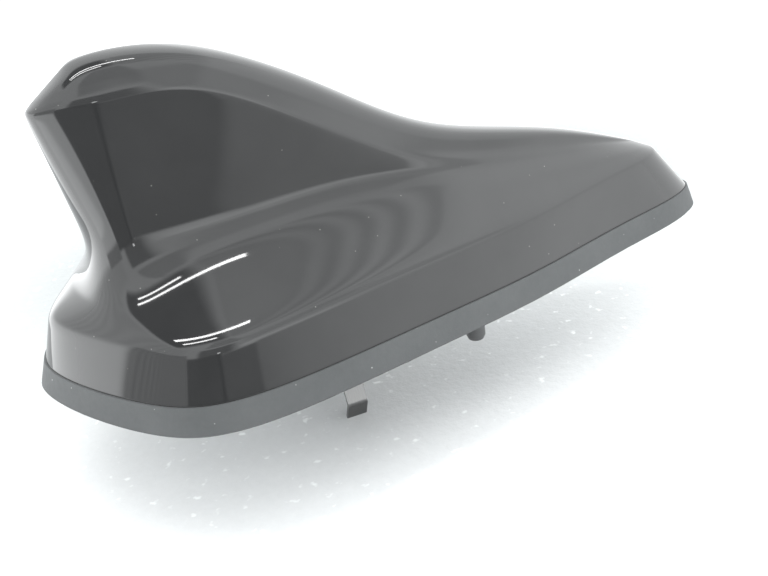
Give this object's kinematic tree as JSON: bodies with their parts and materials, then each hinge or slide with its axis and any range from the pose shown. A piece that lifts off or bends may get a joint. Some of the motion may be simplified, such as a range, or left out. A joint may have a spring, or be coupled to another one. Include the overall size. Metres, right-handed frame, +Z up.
{
  "type": "shark fin antenna",
  "caption": "Low roof antenna with a curved fin on a tapering housing, a rubber foot gasket, and a bolted boss with a spring clip and locating peg under the roof.",
  "frame": {"origin": "where the axis of the fixing bolt meets the roof's outer face", "axes": "+X to the nose, +Y to the antenna's left, +Z up off the roof"},
  "size_m": [0.1664, 0.08, 0.0921],
  "materials": {
    "cover": "injection moulded, piano black",
    "gasket": "matte moulded rubber",
    "base_plate": "die cast",
    "roof_seal": "closed-cell foam",
    "cover_screws": "zinc plated",
    "circuit_board": "solder mask",
    "board_screws": "zinc plated",
    "shield_can": "tinned sheet",
    "patch_tape": "adhesive tape",
    "gnss_ceramic": "fired ceramic",
    "gnss_electrode": "fired silver",
    "gnss_feed_pin": "plated",
    "fin_board": "solder mask",
    "fin_clamps": "moulded",
    "top_load_cap": "folded sheet",
    "phone_radiator": "folded sheet",
    "second_radiator": "folded sheet",
    "connector_block": "moulded",
    "coax_sleeves": "plated tube",
    "coax_pins": "gold plated",
    "locating_peg": "moulded",
    "spring_clip": "spring steel",
    "lock_washer": "zinc plated",
    "fixing_bolt": "zinc plated"
  },
  "bodies": {
    "root": {"cover": "cover", "gasket": "gasket", "base_plate": "base_plate", "roof_seal": "roof_seal", "cover_screws": "cover_screws", "circuit_board": "circuit_board", "board_screws": "board_screws", "shield_can": "shield_can", "patch_tape": "patch_tape", "gnss_ceramic": "gnss_ceramic", "gnss_electrode": "gnss_electrode", "gnss_feed_pin": "gnss_feed_pin", "fin_board": "fin_board", "fin_clamps": "fin_clamps", "top_load_cap": "top_load_cap", "phone_radiator": "phone_radiator", "second_radiator": "second_radiator", "connector_block": "connector_block", "coax_sleeves": "coax_sleeves", "coax_pins": "coax_pins", "locating_peg": "locating_peg", "spring_clip": "spring_clip", "lock_washer": "lock_washer", "fixing_bolt": "fixing_bolt"}
  },
  "joints": []
}
